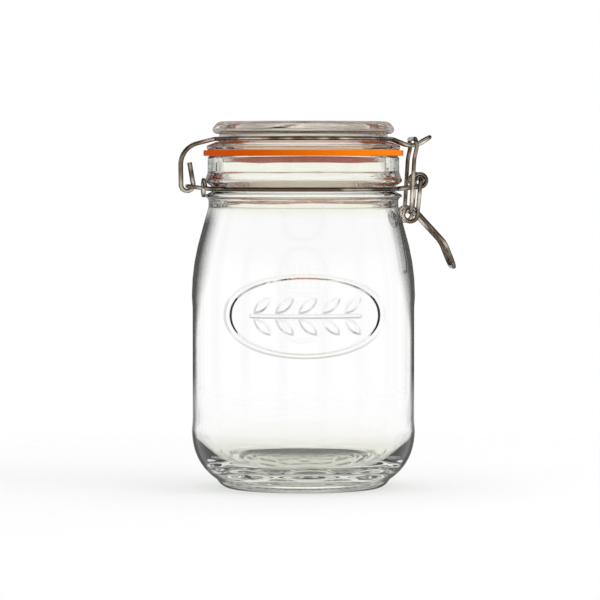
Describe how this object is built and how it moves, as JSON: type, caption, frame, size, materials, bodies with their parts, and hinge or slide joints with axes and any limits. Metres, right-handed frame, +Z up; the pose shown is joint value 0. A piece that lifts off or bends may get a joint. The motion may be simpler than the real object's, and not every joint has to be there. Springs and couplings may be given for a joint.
{
  "type": "clip-top jar",
  "caption": "Round glass storage jar with a hinged glass lid, an orange rubber seal and a bent-wire toggle clasp.",
  "frame": {"origin": "the jar's axis on the plane it stands on", "axes": "+Z up along the jar's axis, +X towards the clasp, -X towards the lid's hinge"},
  "size_m": [0.1327, 0.107, 0.1753],
  "materials": {
    "jar_glass": "clear moulded glass",
    "lid_glass": "clear pressed glass",
    "seal": "smooth orange rubber",
    "wire": "drawn stainless wire"
  },
  "bodies": {
    "jar": {"jar_glass": "jar_glass", "neck_wire": "wire"},
    "lid": {"lid_glass": "lid_glass", "seal": "seal", "lid_wire": "wire"},
    "lever": {"lever": "wire"},
    "link": {"link": "wire"}
  },
  "joints": [
    {"name": "lid_hinge", "type": "hinge", "parent": "jar", "child": "lid", "pos_m": [-0.0555, 0, 0.1444], "axis": [0, -1, 0], "range_deg": [0, 195]},
    {"name": "lever_pivot", "type": "hinge", "parent": "jar", "child": "lever", "pos_m": [0.0552, 0, 0.1479], "axis": [0, -1, 0], "range_deg": [0, 100]},
    {"name": "link_pivot", "type": "hinge", "parent": "lever", "child": "link", "pos_m": [0.0503, 0, 0.13198], "axis": [0, -1, 0], "range_deg": [-54, 0]}
  ],
  "couplings": [
    {"joint": "link_pivot", "follows": "lever_pivot", "ratio": -0.54}
  ]
}
